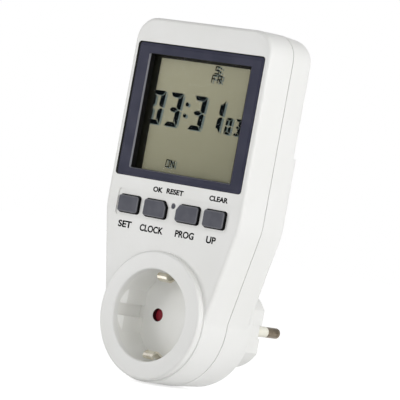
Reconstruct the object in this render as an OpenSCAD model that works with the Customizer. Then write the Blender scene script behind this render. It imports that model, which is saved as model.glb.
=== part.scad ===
// Plug-in digital timer switch: a two-pin plug with side earth contacts at the back, a socket of
// the same system at the front, and above it a display with four keys and a recessed reset key.
// Millimetres. +Z is up, the display faces -Y and the plug pins point along +Y.
// The origin lies on the plug's face, midway between the two pins.

/* [Case outline] */
// Half the width of the case where its two covers meet
case_half_w = 38; // [37.8:0.1:38.4]
// Height of the case's top above the plug's centre
case_top = 126.5; // [126:0.1:128]
// Radius of the two top corners
corner_r = 10.5; // [9:0.5:11]
// Radius of the round lower end, about the socket's centre
round_r = 28.8; // [28.6:0.1:29.2]
// Distance of the tapering side from the socket's centre
taper_reach = 27.65; // [27.5:0.05:27.8]
// Lean of the tapering side from the vertical, in degrees
taper_lean = 12.6; // [12.2:0.1:13]
// Radius that blends the taper into the straight side
blend_r = 28; // [24:1:32]
// Wall thickness of both covers
wall = 2.2; // [2:0.1:2.4]

/* [Depths] */
// From the plug's face to the front of the socket's collar
collar_depth = 59; // [58.9:0.1:59.5]
// How far the collar stands in front of the flat face
collar_proud = 2.9; // [2.8:0.1:3]
// From the collar's front to the joint between the covers
joint_depth = 18.2; // [18:0.1:18.4]
// From the collar's front to the back of the case's lower half
back_depth = 37; // [36.9:0.1:37.1]
// How much shallower the upper half is
back_step = 1.8; // [1.6:0.1:1.8]
// Height of the step in the back
step_z = 76; // [74:0.5:78]
// Edge radius round the flat face
face_edge_r = 1.5; // [1.2:0.1:1.8]
// Edge radius of the round lower end at the back
low_edge_r = 1; // [0.8:0.1:1.2]
// Edge radius round the back
back_edge_r = 6.5; // [6:0.1:7]
// Visible gap between the two covers
seam_gap = 0.4; // [0.3:0.05:0.5]

/* [Socket and plug] */
// Radius of the socket's recess
recess_r = 19.7; // [19.6:0.05:19.8]
// Depth of the socket's recess
recess_depth = 17.5; // [17.4:0.1:17.6]
// Radius of the collar round the recess
collar_r = 27.6; // [27.4:0.1:27.8]
// Half the spacing of the pins, of the plug and of the socket alike
pin_x = 9.5; // [9.5:0.1:9.6]
// Radius of the entry holes in the socket's floor
entry_r = 2.85; // [2.8:0.05:2.85]
// Radius of the plug pins
pin_r = 2.4; // [2.4:0.05:2.4]
// Length of the plug pins in front of the plug's face
pin_length = 19; // [19:0.1:19.2]
// Length of the insulating sleeve on each pin
sleeve_length = 10; // [9.5:0.1:10]
// Radius of the plug's round body
boss_r = 18; // [17.9:0.1:18.1]
// Half width of the plug's body across its two flats
boss_flat = 15.3; // [15.2:0.1:15.4]

/* [Display and keys] */
// Width of the display's frame
bezel_w = 70.2; // [70:0.1:70.4]
// Height of the display's frame
bezel_h = 58.3; // [58:0.1:58.4]
// Height of the frame's centre above the plug's centre
bezel_z = 86.1; // [86:0.1:86.2]
// Width of the window in the frame
window_w = 55.4; // [55:0.1:55.6]
// Height of the window in the frame
window_h = 49.1; // [48.8:0.1:49.2]
// Height of the window's centre
window_z = 85.6; // [85.4:0.1:85.8]
// Width of a key's cap
key_w = 12.4; // [12.2:0.1:12.5]
// Height of a key's cap
key_h = 7.8; // [7.6:0.1:8]
// Height of the row of keys
key_z = 44.85; // [44.7:0.05:45]
// Travel of a key
key_travel = 0.6; // [0.4:0.1:0.7]

/* [Hidden] */
$fn = 96;

// Depths along Y of the main planes
collar_y = -collar_depth;
face_y = collar_y + collar_proud;
inner_face_y = face_y + wall;
floor_y = collar_y + recess_depth;
joint_y = collar_y + joint_depth;
back_y = collar_y + back_depth;
upper_back_y = back_y - back_step;
front_draft = 0.4;              // how much narrower the case is at its face than at the joint
rear_draft = 0.8;               // how much narrower it is at its back
past = 0.5;                     // how far a cut runs past the surface it opens

// Joint between the covers: a lip on the rear one enters a rebate in the front one
lip_in = 1.05;
lip_h = 1.5;
lip_play = 0.05;

// Display stack, from the frame backwards
bezel_proud = 0.35;
bezel_flange_t = 1.5;
bezel_skirt_in = 1.7;           // the skirt is this much smaller than the flange, each side
bezel_r = 1.5;
bezel_play = 0.1;
window_bevel = 0.7;             // bevel round the front edge of the window
bezel_y = face_y - bezel_proud;
ledge_y = bezel_y + bezel_flange_t + lip_play;
lens_y = bezel_y + 3.1;
lens_t = 1.2;
lens_edge = 1.4;                // how far the lens reaches behind the window's edge
bezel_back_y = lens_y + lens_t + lip_play;
lcd_y = bezel_back_y + 0.1;
lcd_t = 2.8;
lcd_w = 62;
lcd_h = 54.5;
lcd_z = 85.75;
lcd_back_y = lcd_y + lcd_t;
reflector_t = 0.5;
reflector_z0 = 61.8;
frame_w = 69;
frame_h = 57.6;
frame_play = 0.1;
zebra_z0 = 59.2;
zebra_h = 2;
zebra_w = 58;

// Logic board behind the display and the keys
logic_y = -46;
logic_t = 1.6;
logic_back_y = logic_y + logic_t;
logic_half_w = 34.3;
logic_z0 = 38;
logic_z1 = 115.8;
logic_tab_half_w = 25;
logic_tab_z = 121.5;
logic_posts = [[-31.8, 53.2], [31.8, 53.2], [-20, 118.8], [20, 118.8]];

// Keys and their switches
key_x = [-24, -9.1, 9.1, 24];
key_cut = [0, 1, -1, 0];        // which upper corner is cut away to pass the reset key
key_cut_w = 1.7;
key_cut_h = 2.4;
key_gap = 0.45;
panel_w = 62.6;                 // shallow panel sunk into the face round the row of keys
panel_h = 11.3;
panel_r = 1.3;
panel_z = key_z + 0.6;
panel_sunk = 0.4;
key_proud = 0.85;
key_y = face_y - key_proud;
key_flange_y = inner_face_y + 0.15;
key_flange_t = 1;
key_flange_over = 1;
key_stem_r = 1.6;
plunger_y = logic_y - 4.3;
plunger_r = 1.7;
plunger_play = 0.08;
plunger_length = 2.1;
switch_h = 3.1;
switch_w = 6;
reset_z = 47.26;
reset_r = 1.15;
reset_hole_r = 1.25;
reset_sunk = 0.7;
reset_flange_r = 2;
reset_switch_w = 4.4;
reset_plunger_r = 1;

// Power board in the rear cover
power_y = -28.4;
power_t = 1.6;
power_back_y = power_y + power_t;
power_half_w = 31.5;
power_z0 = 44;
power_z1 = 114;
power_posts = [[-27.5, 48], [27.5, 48], [-27.5, 110], [27.5, 110]];
power_pilot_y = -24.6;

// Relay on the power board: its coil lies upright beside the board
relay_x = -17.75;
relay_w = 12.5;
relay_z0 = 84;
relay_l = 28.5;
relay_h = 14.5;
relay_wall = 0.8;
relay_base_t = 1.2;
relay_y = power_y - relay_h;
coil_y = -35.5;
coil_z0 = 86.4;
coil_z1 = 101.8;
bobbin_r = 5.2;
flange_t = 0.8;
winding_r = 4.6;
core_r = 1.9;
pole_r = 3;
pole_t = 0.4;
yoke_y = -30.7;
yoke_t = 0.9;
armature_z = 103.3;
armature_t = 1;
contact_pad_y = -40.8;           // where the contact pads end, clear of the bobbin

// Contacts behind the socket
insert_wall = 2;
insert_r = recess_r + insert_wall;
insert_floor_t = 2.2;
insert_back_y = floor_y + insert_floor_t;
insert_flange_r = 23.6;
insert_flange_t = 1.7;
rib_x = 17.5;                   // the guide ribs' flat faces
rib_half_h = 9.6;
rib_groove = 2.65;
sleeve_play = 0.1;
sleeve_wall = 1.6;
pivot_r = 2;
pivot_play = 0.06;
carrier_y = -36.1;
carrier_t = 1.2;
carrier_r = 20.8;
carrier_posts = [[13.2, 13.2], [-13.2, -13.2]];
tower_r = 4.8;
clip_in_r = 2.45;
clip_out_r = 3.3;
clip_y0 = -34.7;
clip_plate_y = -28;
strip_t = 0.8;                  // thickness of every contact strip
clip_plate_back_y = clip_plate_y + strip_t;
bus_x0 = 6.4;
bus_w = 3.2;
bus_z = 8.1;
bus_riser_y = -26.35;
bus_top_z = 48;
pin_head_r = 3.2;
pin_head_y = -5.6;
plug_floor_y = -4;
pin_core_r = 1.8;

// Earth strap: one bracket for the socket's clips, one for the plug's, riveted together
arm_z = 18.6;
arm_half_w = 2.6;
bridge_y = -25;
rear_arm_z = 12.2;
rear_arm_half_w = 3;
rear_contact_z = 15.6;
rear_step_y = -15;
rivet_r = 1.5;
rivet_head_r = 2.6;
rivet_head_t = 0.8;

// Plug body at the back
boss_cavity_r = 13.2;
notch_x = 14.3;
notch_half_h = 2.8;
channel_z = 15;
channel_half_w = 4.2;
channel_l = 16;

// Screws that close the case
case_posts = [[-28.5, 119.2], [28.5, 119.2], [-24.5, 33], [24.5, 33]];
post_r = 3.2;
column_r = 4.2;
head_seat_y = -33;
head_r = 2.8;
head_t = 2.2;

// Child-safety shutter behind the socket's floor
shutter_y = insert_back_y + 0.15;
shutter_t = 1.9;
shutter_reach = 13.2;
shutter_half_h = 3.3;
shutter_hub_r = 4.2;
shutter_swing = 43;
spring_x = -4.9;
spring_z0 = 3.45;
spring_z1 = 13.5;
spring_r = 1.05;
spring_wire_r = 0.18;
spring_turns = 7;

// ---- helpers -------------------------------------------------------------------------------

// Points of an arc in a plane, from one angle to another
function arc(cx, cz, r, a0, a1, n) =
    [for (i = [0:n]) let (a = a0 + (a1 - a0) * i / n) [cx + r * cos(a), cz + r * sin(a)]];

// Height where the blend arc meets the straight side
blend_z = ((case_half_w - blend_r) * cos(taper_lean) - taper_reach + blend_r) / sin(taper_lean);

// Outline of the case moved inwards by d, and by low at its round lower end: tapering sides meet
// the round end in a shallow kink, then come straight upper sides and a flat top with round
// corners. It runs anticlockwise and ends in the lowest point
function outline(d, low) =
    let (kink = acos((taper_reach - d) / (round_r - low)) - taper_lean,
        low_steps = 22,
        side_x = case_half_w - blend_r,
        corner_x = case_half_w - corner_r,
        corner_z = case_top - corner_r)
    concat(
        arc(0, 0, round_r - low, 270 + (90 + kink) / low_steps, 360 + kink, low_steps - 1),
        arc(side_x, blend_z, blend_r - d, -taper_lean, 0, 4),
        arc(corner_x, corner_z, corner_r - d, 0, 90, 8),
        arc(-corner_x, corner_z, corner_r - d, 90, 180, 8),
        arc(-side_x, blend_z, blend_r - d, 180, 180 + taper_lean, 4),
        arc(0, 0, round_r - low, 180 - kink, 270, low_steps));

// Solid through a row of outlines; each step is [y, inset, inset of the round lower end]
module loft(steps) {
    n = len(outline(0, 0));
    last = len(steps) - 1;
    points = [for (s = steps) for (p = outline(s[1], s[2])) [p[0], s[0], p[1]]];
    sides = [for (k = [0:last - 1]) for (j = [0:n - 1])
        let (a = k * n + j, b = k * n + (j + 1) % n, c = b + n, d = a + n)
        for (f = [[a, b, c], [a, c, d]]) f];
    ends = [[for (j = [n - 1:-1:0]) j], [for (j = [0:n - 1]) last * n + j]];
    polyhedron(points = points, faces = concat(ends, sides));
}

// Inset of a small round edge of radius r, at depth y behind the plane that it ends in
function edge_in(y, r) = y < r ? r - sqrt(y * (2 * r - y)) : 0;

// Straight-sided solid from y0 to y1
module prism(y0, y1, inset) {
    loft([[y0, inset, inset], [y1, inset, inset]]);
}

// Inset of the drafted rear cover at plane y, before its back edge begins
function rear_in(y) = rear_draft * (y - joint_y) / (back_y - joint_y);

// Steps of the rear cover's outside: the edge round a back at plane y1 has radius r, but the
// round lower end keeps nearly its full radius
function outer_back(y1, r) = concat([[joint_y + seam_gap / 2, 0, 0]],
    [for (a = [0:18:90]) let (y = y1 - r + r * sin(a))
        [y, rear_in(y1 - r) + r * (1 - cos(a)), rear_in(y) + edge_in(back_y - y, low_edge_r)]]);

// Steps of its inside, one wall further in
function inner_back(y1, r) = concat([[joint_y - lip_h - past, wall, wall]],
    [for (a = [0:18:90]) let (d = rear_draft + wall + r * (1 - cos(a)))
        [y1 - r + r * sin(a), d, d]]);

// A flat shape, drawn in X and Z, made into a slab from y0 to y1
module slab(y0, y1) {
    translate([0, y1, 0]) rotate([90, 0, 0]) linear_extrude(y1 - y0) children();
}

// A round bar along Y
module bar(y0, y1, r, x = 0, z = 0) {
    translate([x, y1, z]) rotate([90, 0, 0]) cylinder(h = y1 - y0, r = r);
}

// A profile of [radius, y] points turned about the Y axis
module turned(points) {
    rotate([-90, 0, 0]) rotate_extrude() polygon(points);
}

// A box between two corners
module block(a, b) {
    translate(a) cube(b - a);
}

// A rectangle with its centre at [x, z]; r rounds its corners
module rect(w, h, r = 0, x = 0, z = 0) {
    translate([x, z]) {
        if (r == 0) {
            square([w, h], center = true);
        } else {
            square([w - 2 * r, h], center = true);
            square([w, h - 2 * r], center = true);
            for (sx = [-1, 1], sz = [-1, 1])
                translate([sx * (w / 2 - r), sz * (h / 2 - r)]) circle(r);
        }
    }
}

// Outline of a strip of thickness t along a bent path, with mitred corners
function across(a, b) = let (d = (b - a) / norm(b - a)) [-d[1], d[0]];
function mitre(p, i) =
    let (last = len(p) - 1,
        n1 = across(p[max(i - 1, 0)], p[max(i, 1)]),
        n2 = across(p[min(i, last - 1)], p[min(i + 1, last)]))
    (n1 + n2) / (1 + n1 * n2);
function strip(p, t) = concat(
    [for (i = [0:len(p) - 1]) p[i] + mitre(p, i) * t / 2],
    [for (i = [len(p) - 1:-1:0]) p[i] - mitre(p, i) * t / 2]);

// Sheet-metal strip bent along a path of [y, z] points, from x0 to x1
module bent_strip(path, x0, x1) {
    translate([x0, 0, 0]) rotate([90, 0, 90]) linear_extrude(x1 - x0)
        polygon(strip(path, strip_t));
}

// A path and its mirror image below, as one path
function both_ways(p) = concat(p, [for (i = [len(p) - 1:-1:0]) [p[i][0], -p[i][1]]]);

// Outline of a key's cap, grown by g; cut is +1 or -1 for a cut right or left upper corner
module key_shape(i, g = 0) {
    w = key_w / 2 + g;
    h = key_h / 2 + g;
    cut = key_cut[i];
    corner = cut == 0 ? [[w, h]] : [[w, h - key_cut_h], [w - key_cut_w, h]];
    translate([key_x[i], key_z]) scale([cut == -1 ? -1 : 1, 1])
        polygon(concat([[-w, -h], [w, -h]], corner, [[-w, h]]));
}

// ---- covers --------------------------------------------------------------------------------

// Front cover: a shell with the display's opening, the key openings, the socket's collar and
// the posts that carry the logic board and take the case screws
module front_cover() {
    front_end_y = joint_y - seam_gap / 2;
    edge = [for (a = [90:-22.5:0]) let (y = face_edge_r * (1 - sin(a)))
        [face_y + y, front_draft + face_edge_r * (1 - cos(a)), front_draft + edge_in(y, low_edge_r / 2)]];
    collar_edge = 1.2;
    mouth_edge = 0.7;
    collar_end_y = face_y + wall / 2;
    color("whitesmoke") difference() {
        union() {
            difference() {
                loft(concat(edge, [[front_end_y, 0, 0]]));
                loft([[inner_face_y, front_draft + wall, front_draft + wall], [joint_y + past, wall, wall]]);
                prism(joint_y - lip_h - lip_play * 2, joint_y + past, lip_in - lip_play);
            }
            // The collar, with its edges rounded outside and at the mouth
            turned(concat([[recess_r, collar_end_y], [recess_r, collar_y + mouth_edge]],
                arc(recess_r + mouth_edge, collar_y + mouth_edge, mouth_edge, 180, 270, 4),
                arc(collar_r - collar_edge, collar_y + collar_edge, collar_edge, 270, 360, 4),
                [[collar_r, collar_end_y]]));
            // The sleeve that takes the socket's insert
            turned([[insert_r + sleeve_play, inner_face_y - past],
                [insert_r + sleeve_play + sleeve_wall, inner_face_y - past],
                [insert_r + sleeve_play + sleeve_wall, insert_back_y - insert_flange_t - lip_play],
                [insert_r + sleeve_play, insert_back_y - insert_flange_t - lip_play]]);
            for (p = logic_posts) bar(inner_face_y - past, logic_y, 2.3, p[0], p[1]);
            for (p = case_posts) bar(inner_face_y - past, joint_y, post_r, p[0], p[1]);
        }
        // Display: a pocket for the frame's flange and an opening for its skirt
        slab(face_y - past, ledge_y)
            rect(bezel_w + 2 * bezel_play, bezel_h + 2 * bezel_play, bezel_r, 0, bezel_z);
        slab(face_y - past, inner_face_y + past) rect(bezel_w - 2 * bezel_skirt_in + 2 * bezel_play,
            bezel_h - 2 * bezel_skirt_in + 2 * bezel_play, 0, 0, bezel_z);
        // Keys: the sunk panel round them and their openings
        slab(face_y - past, face_y + panel_sunk) rect(panel_w, panel_h, panel_r, 0, panel_z);
        for (i = [0:3]) slab(face_y - past, inner_face_y + past) key_shape(i, key_gap);
        bar(face_y - past, inner_face_y + past, reset_hole_r, 0, reset_z);
        // Socket: the mouth, and behind the collar the seat of the insert
        bar(collar_y - past, inner_face_y + past, recess_r);
        bar(face_y, insert_back_y, insert_r + sleeve_play);
        // Pilot holes of the screws
        for (p = logic_posts) bar(logic_y - 5, logic_y + past, 0.95, p[0], p[1]);
        for (p = case_posts) bar(joint_y - 9, joint_y + past, 1.5, p[0], p[1]);
    }
}

// Everything higher than z
module above_step(z) {
    block([-case_half_w - 1, joint_y - 5, z], [case_half_w + 1, back_y + 1, case_top + 1]);
}

// Rear cover: a deeper shell whose back steps in above, with the plug's body below
module rear_cover() {
    rear_start_y = joint_y + seam_gap / 2;
    cavity_y = back_y - wall;
    cavity_edge_r = back_edge_r - wall;
    color("white") difference() {
        union() {
            // Outer skin: the shallow back above the step, the deep one below it
            intersection() {
                loft(outer_back(upper_back_y, back_edge_r));
                above_step(step_z);
            }
            difference() {
                loft(outer_back(back_y, back_edge_r));
                above_step(step_z);
            }
            // Lip round the edge
            prism(joint_y - lip_h, rear_start_y + past, lip_in);
            // Plug body with flats at its sides
            intersection() {
                bar(back_y - past, 0, boss_r);
                block([-boss_flat, back_y - past, -boss_r], [boss_flat, 0, boss_r]);
            }
        }
        // Inside of the case
        difference() {
            union() {
                intersection() {
                    loft(inner_back(upper_back_y - wall, cavity_edge_r));
                    above_step(step_z - wall);
                }
                difference() {
                    loft(inner_back(cavity_y, cavity_edge_r));
                    above_step(step_z - wall);
                }
            }
            for (p = case_posts) bar(joint_y, back_y, column_r, p[0], p[1]);
            for (p = power_posts) bar(power_back_y, back_y, 2.8, p[0], p[1]);
        }
        // Inside of the plug body, its pin holes and the channels of its earth contacts
        bar(cavity_y - past, plug_floor_y, boss_cavity_r);
        for (s = [-1, 1]) {
            bar(plug_floor_y - past, past, pin_r + 0.02, s * pin_x, 0);
            block([s > 0 ? notch_x : -boss_r - past, back_y + 1, -notch_half_h],
                [s > 0 ? boss_r + past : -notch_x, past, notch_half_h]);
            block([-channel_half_w, -channel_l, s > 0 ? channel_z : -boss_r - past],
                [channel_half_w, past, s > 0 ? boss_r + past : -channel_z]);
            block([-rear_arm_half_w - 0.2, rear_step_y - 0.7, s > 0 ? rear_arm_z - 1 : -channel_z - past],
                [rear_arm_half_w + 0.2, rear_step_y + 0.7, s > 0 ? channel_z + past : 1 - rear_arm_z]);
        }
        // Screws
        for (p = case_posts) {
            bar(joint_y - past, back_y, 1.6, p[0], p[1]);
            bar(head_seat_y, back_y + past, head_r + 0.3, p[0], p[1]);
        }
        for (p = power_posts) bar(power_back_y - past, power_pilot_y, 1.15, p[0], p[1]);
    }
}

// ---- display -------------------------------------------------------------------------------

// Section across the window, half as wide as given, with the bevel on its front edge
function bevelled_bar(half) = let (back = bezel_back_y - bezel_y + past, lip = window_bevel + past)
    [[-half - lip, -past], [half + lip, -past], [half, window_bevel], [half, back], [-half, back],
     [-half, window_bevel]];

// Frame of the display: a flange that fills the cover's pocket and a skirt behind it
module display_bezel() {
    color([0.21, 0.22, 0.3]) difference() {
        union() {
            slab(bezel_y, bezel_y + bezel_flange_t) rect(bezel_w, bezel_h, bezel_r, 0, bezel_z);
            slab(bezel_y + bezel_flange_t, bezel_back_y)
                rect(bezel_w - 2 * bezel_skirt_in, bezel_h - 2 * bezel_skirt_in, 0, 0, bezel_z);
        }
        // Window: common part of an upright and a level bar, which mitres the bevel's corners
        translate([0, bezel_y, window_z]) intersection() {
            linear_extrude(bezel_h, center = true) polygon(bevelled_bar(window_w / 2));
            rotate([0, 90, 0]) linear_extrude(bezel_w, center = true)
                polygon(bevelled_bar(window_h / 2));
        }
        slab(lens_y, bezel_back_y + past)
            rect(window_w + 2 * lens_edge + 0.2, window_h + 2 * lens_edge + 0.2, 0, 0, window_z);
    }
}

// Clear window behind the frame
module display_lens() {
    color([0.8, 0.85, 0.85, 0.3]) slab(lens_y + lip_play, lens_y + lens_t)
        rect(window_w + 2 * lens_edge, window_h + 2 * lens_edge, 0, 0, window_z);
}

// Liquid crystal cell: two glasses with their polarisers
module lcd_panel() {
    color([0.62, 0.62, 0.52]) slab(lcd_y, lcd_back_y) rect(lcd_w, lcd_h, 0, 0, lcd_z);
}

// White foil that gives the cell its pale ground
module lcd_reflector() {
    z1 = lcd_z + lcd_h / 2 - 0.5;
    color("white") slab(lcd_back_y + lip_play, lcd_back_y + lip_play + reflector_t)
        rect(lcd_w - 1, z1 - reflector_z0, 0, 0, (z1 + reflector_z0) / 2);
}

// Holder that keeps the cell against the frame and the board at its distance
module lcd_frame() {
    ledge = lcd_back_y + lip_play * 2 + reflector_t;
    color("gainsboro") difference() {
        slab(lcd_y, logic_y - lip_play) rect(frame_w, frame_h, 0, 0, bezel_z);
        slab(lcd_y - past, ledge)
            rect(lcd_w + 2 * frame_play, lcd_h + 2 * frame_play, 0, 0, lcd_z);
        slab(ledge - past, logic_y) rect(54, 46, 0, 0, lcd_z + 1.5);
        slab(ledge - past, logic_y) rect(zebra_w + 1, zebra_h + 0.4, 0, 0, zebra_z0 + zebra_h / 2);
    }
}

// Rubber connector strip between the cell's lower edge and the board
module zebra_strip() {
    color("dimgray") slab(lcd_back_y + lip_play, logic_y - lip_play)
        rect(zebra_w, zebra_h, 0, 0, zebra_z0 + zebra_h / 2);
}

// ---- keys ----------------------------------------------------------------------------------

// Key cap with a flange that keeps it behind the cover and a stem that meets its switch
module key_cap(i) {
    color("dimgray") union() {
        slab(key_y, key_flange_y) key_shape(i);
        slab(key_flange_y, key_flange_y + key_flange_t)
            rect(key_w, key_h + 2 * key_flange_over, 0, key_x[i], key_z);
        bar(key_flange_y + key_flange_t, plunger_y - 0.02, key_stem_r, key_x[i], key_z);
    }
}

// Reset key: a thin pin sunk below the face
module reset_key() {
    color("dimgray") union() {
        bar(face_y + reset_sunk, key_flange_y, reset_r, 0, reset_z);
        bar(key_flange_y, key_flange_y + key_flange_t, reset_flange_r, 0, reset_z);
        bar(key_flange_y + key_flange_t, plunger_y - 0.02, reset_r, 0, reset_z);
    }
}

// Moving plunger of a key switch
module switch_plunger(x, z, r) {
    color("black") bar(plunger_y, plunger_y + plunger_length, r, x, z);
}

// The five switch housings on the logic board
module key_switches() {
    well_y = plunger_y + plunger_length + key_travel + 0.3;
    color("silver") {
        for (x = key_x) difference() {
            slab(logic_y - switch_h, logic_y) rect(switch_w, switch_w, 0, x, key_z);
            bar(logic_y - switch_h - past, well_y, plunger_r + plunger_play, x, key_z);
        }
        difference() {
            slab(logic_y - switch_h, logic_y) rect(reset_switch_w, reset_switch_w, 0, 0, reset_z);
            bar(logic_y - switch_h - past, well_y, reset_plunger_r + plunger_play, 0, reset_z);
        }
    }
}

// ---- logic board ---------------------------------------------------------------------------

// Board behind the display, with a tab between the upper case screws
module logic_board() {
    color("darkgreen") difference() {
        slab(logic_y, logic_back_y) {
            rect(2 * logic_half_w, logic_z1 - logic_z0, 0, 0, (logic_z1 + logic_z0) / 2);
            rect(2 * logic_tab_half_w, logic_tab_z - logic_z1 + 2, 0, 0,
                (logic_tab_z + logic_z1) / 2 - 1);
        }
        for (p = logic_posts) bar(logic_y - past, logic_back_y + past, 1.2, p[0], p[1]);
    }
}

// Chip under its drop of epoxy
module logic_chip() {
    blob_r = 6;
    dome_r = 12;
    half = asin(blob_r / dome_r);
    color([0.1, 0.1, 0.1]) translate([0, logic_back_y - dome_r * cos(half), 80])
        turned(concat([[0, dome_r * cos(half)]], arc(0, 0, dome_r, 90 - half, 90, 5)));
}

// Watch crystal in its can, lying on the board
module clock_crystal() {
    color("silver") translate([-12, logic_back_y + 1.05, 70]) rotate([0, 90, 0])
        cylinder(h = 6, r = 1);
}

// Rechargeable button cell that keeps the time without mains
module backup_battery() {
    color("silver") {
        bar(logic_back_y + 0.3, logic_back_y + 5.2, 7.8, 19, 99);
        bar(logic_back_y + 5.2, logic_back_y + 5.9, 6.6, 19, 99);
    }
}

// Welded tabs of the cell
module battery_tabs() {
    color("gainsboro") {
        block([17, logic_back_y, 99], [21, logic_back_y + 0.3, 110]);
        difference() {
            block([17, logic_back_y, 88.6], [21, logic_back_y + 6.2, 101]);
            block([16, logic_back_y - 1, 89.2], [22, logic_back_y + 5.9, 102]);
        }
    }
}

// Row of pins that joins the two boards
module board_link() {
    pitch = 2.54;
    color("gold") for (i = [-3:3])
        block([1.5 + i * pitch - 0.32, logic_back_y, 107.7], [1.5 + i * pitch + 0.32, power_y, 108.3]);
}

// ---- power board ---------------------------------------------------------------------------

// Board in the rear cover that carries the relay and the supply
module power_board() {
    color("darkolivegreen") difference() {
        slab(power_y, power_back_y)
            rect(2 * power_half_w, power_z1 - power_z0, 0, 0, (power_z1 + power_z0) / 2);
        for (p = power_posts) bar(power_y - past, power_back_y + past, 1.3, p[0], p[1]);
    }
}

// Relay cover, open towards the board
module relay_case() {
    color("black") difference() {
        block([relay_x - relay_w / 2, relay_y, relay_z0],
            [relay_x + relay_w / 2, power_y - relay_base_t, relay_z0 + relay_l]);
        block([relay_x - relay_w / 2 + relay_wall, relay_y + relay_wall, relay_z0 + relay_wall],
            [relay_x + relay_w / 2 - relay_wall, power_y, relay_z0 + relay_l - relay_wall]);
    }
}

// Base that closes the relay
module relay_base() {
    color("dimgray") block([relay_x - relay_w / 2, power_y - relay_base_t, relay_z0],
        [relay_x + relay_w / 2, power_y, relay_z0 + relay_l]);
}

// A cylinder along Z on the coil's axis
module on_coil(z0, z1, r) {
    translate([relay_x, coil_y, z0]) cylinder(h = z1 - z0, r = r);
}

// Bobbin: two flanges on a tube
module relay_bobbin() {
    color("ivory") difference() {
        union() {
            on_coil(coil_z0, coil_z0 + flange_t, bobbin_r);
            on_coil(coil_z1 - flange_t, coil_z1, bobbin_r);
            on_coil(coil_z0, coil_z1, core_r + 0.8);
        }
        on_coil(coil_z0 - 1, coil_z1 + 1, core_r + 0.05);
    }
}

// Copper winding between the flanges
module relay_winding() {
    color("peru") difference() {
        on_coil(coil_z0 + flange_t, coil_z1 - flange_t, winding_r);
        on_coil(coil_z0, coil_z1, core_r + 0.85);
    }
}

// Iron core with its pole, and the yoke that brings the flux to the armature
module relay_yoke() {
    foot_z = coil_z0 - 1.1;
    color("slategray") union() {
        on_coil(foot_z, coil_z1, core_r);
        on_coil(coil_z1, coil_z1 + pole_t, pole_r);
        block([relay_x - 4.5, coil_y - 4, foot_z], [relay_x + 4.5, yoke_y, coil_z0 - 0.1]);
        block([relay_x - 4.5, yoke_y + 0.5, foot_z], [relay_x + 4.5, yoke_y + yoke_t, armature_z - 0.1]);
        block([relay_x - 4.5, yoke_y, foot_z], [relay_x + 4.5, yoke_y + yoke_t, coil_z0 - 0.1]);
    }
}

// Armature that rocks on the yoke's end and carries the moving contact
module relay_armature() {
    color("slategray") union() {
        block([relay_x - 4.5, -41.8, armature_z], [relay_x + 4.5, -30, armature_z + armature_t]);
        block([relay_x - 1.2, -41.6, armature_z - 0.6], [relay_x + 1.2, contact_pad_y, armature_z]);
    }
}

// Fixed contact on its blade beside the coil
module relay_contact() {
    blade_y = relay_y + relay_wall + 0.1;
    color("gold") union() {
        block([relay_x - 2, blade_y, relay_z0 + 1.5], [relay_x + 2, blade_y + 0.5, armature_z - 1.9]);
        block([relay_x - 1.5, blade_y, armature_z - 1.9], [relay_x + 1.5, contact_pad_y, armature_z - 1.4]);
    }
}

// Film capacitor that drops the mains voltage
module dropper_capacitor() {
    color("goldenrod") block([-27, power_y - 12, 52], [-17, power_y, 78]);
}

// Electrolytic capacitor, standing on the board
module smoothing_capacitor() {
    color([0.12, 0.14, 0.2]) bar(power_y - 12.5, power_y, 5.2, 22, 64);
}

// Varistor disc across the supply, on two leads
module surge_varistor() {
    color("royalblue") union() {
        translate([-2, power_y - 6, 58]) rotate([0, 90, 0]) cylinder(h = 4, r = 5.5);
        for (z = [55.5, 60.5]) bar(power_y - 3, power_y, 0.4, 0, z);
    }
}

// Fuse of the supply, lying on the board
module mains_fuse() {
    color("ivory") union() {
        translate([12.5, power_y - 3, 56]) cylinder(h = 20, r = 2.4);
        for (z = [56, 71]) translate([12.5, power_y - 3, z]) cylinder(h = 5, r = 2.6);
        for (z = [58.5, 73.5]) bar(power_y - 3, power_y, 0.5, 12.5, z);
    }
}

// Small part with a round body lying along Z on two leads
module axial_part(x, z, l, r) {
    union() {
        translate([x, power_y - r - 0.3, z]) cylinder(h = l, r = r);
        translate([x, power_y - r - 0.3, z - 2]) cylinder(h = l + 4, r = 0.3);
        for (e = [z - 1.7, z + l + 1.7]) bar(power_y - r - 0.3, power_y, 0.24, x, e);
    }
}

// Four rectifier diodes side by side
module rectifier_diodes() {
    color("black") for (x = [2, 5.5, 9, 12.5]) axial_part(x, 84, 5, 1.3);
}

// Two resistors that discharge the capacitor
module bleed_resistors() {
    color("lightblue") for (x = [18, 23]) axial_part(x, 80, 9, 1.7);
}

// ---- socket --------------------------------------------------------------------------------

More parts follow.
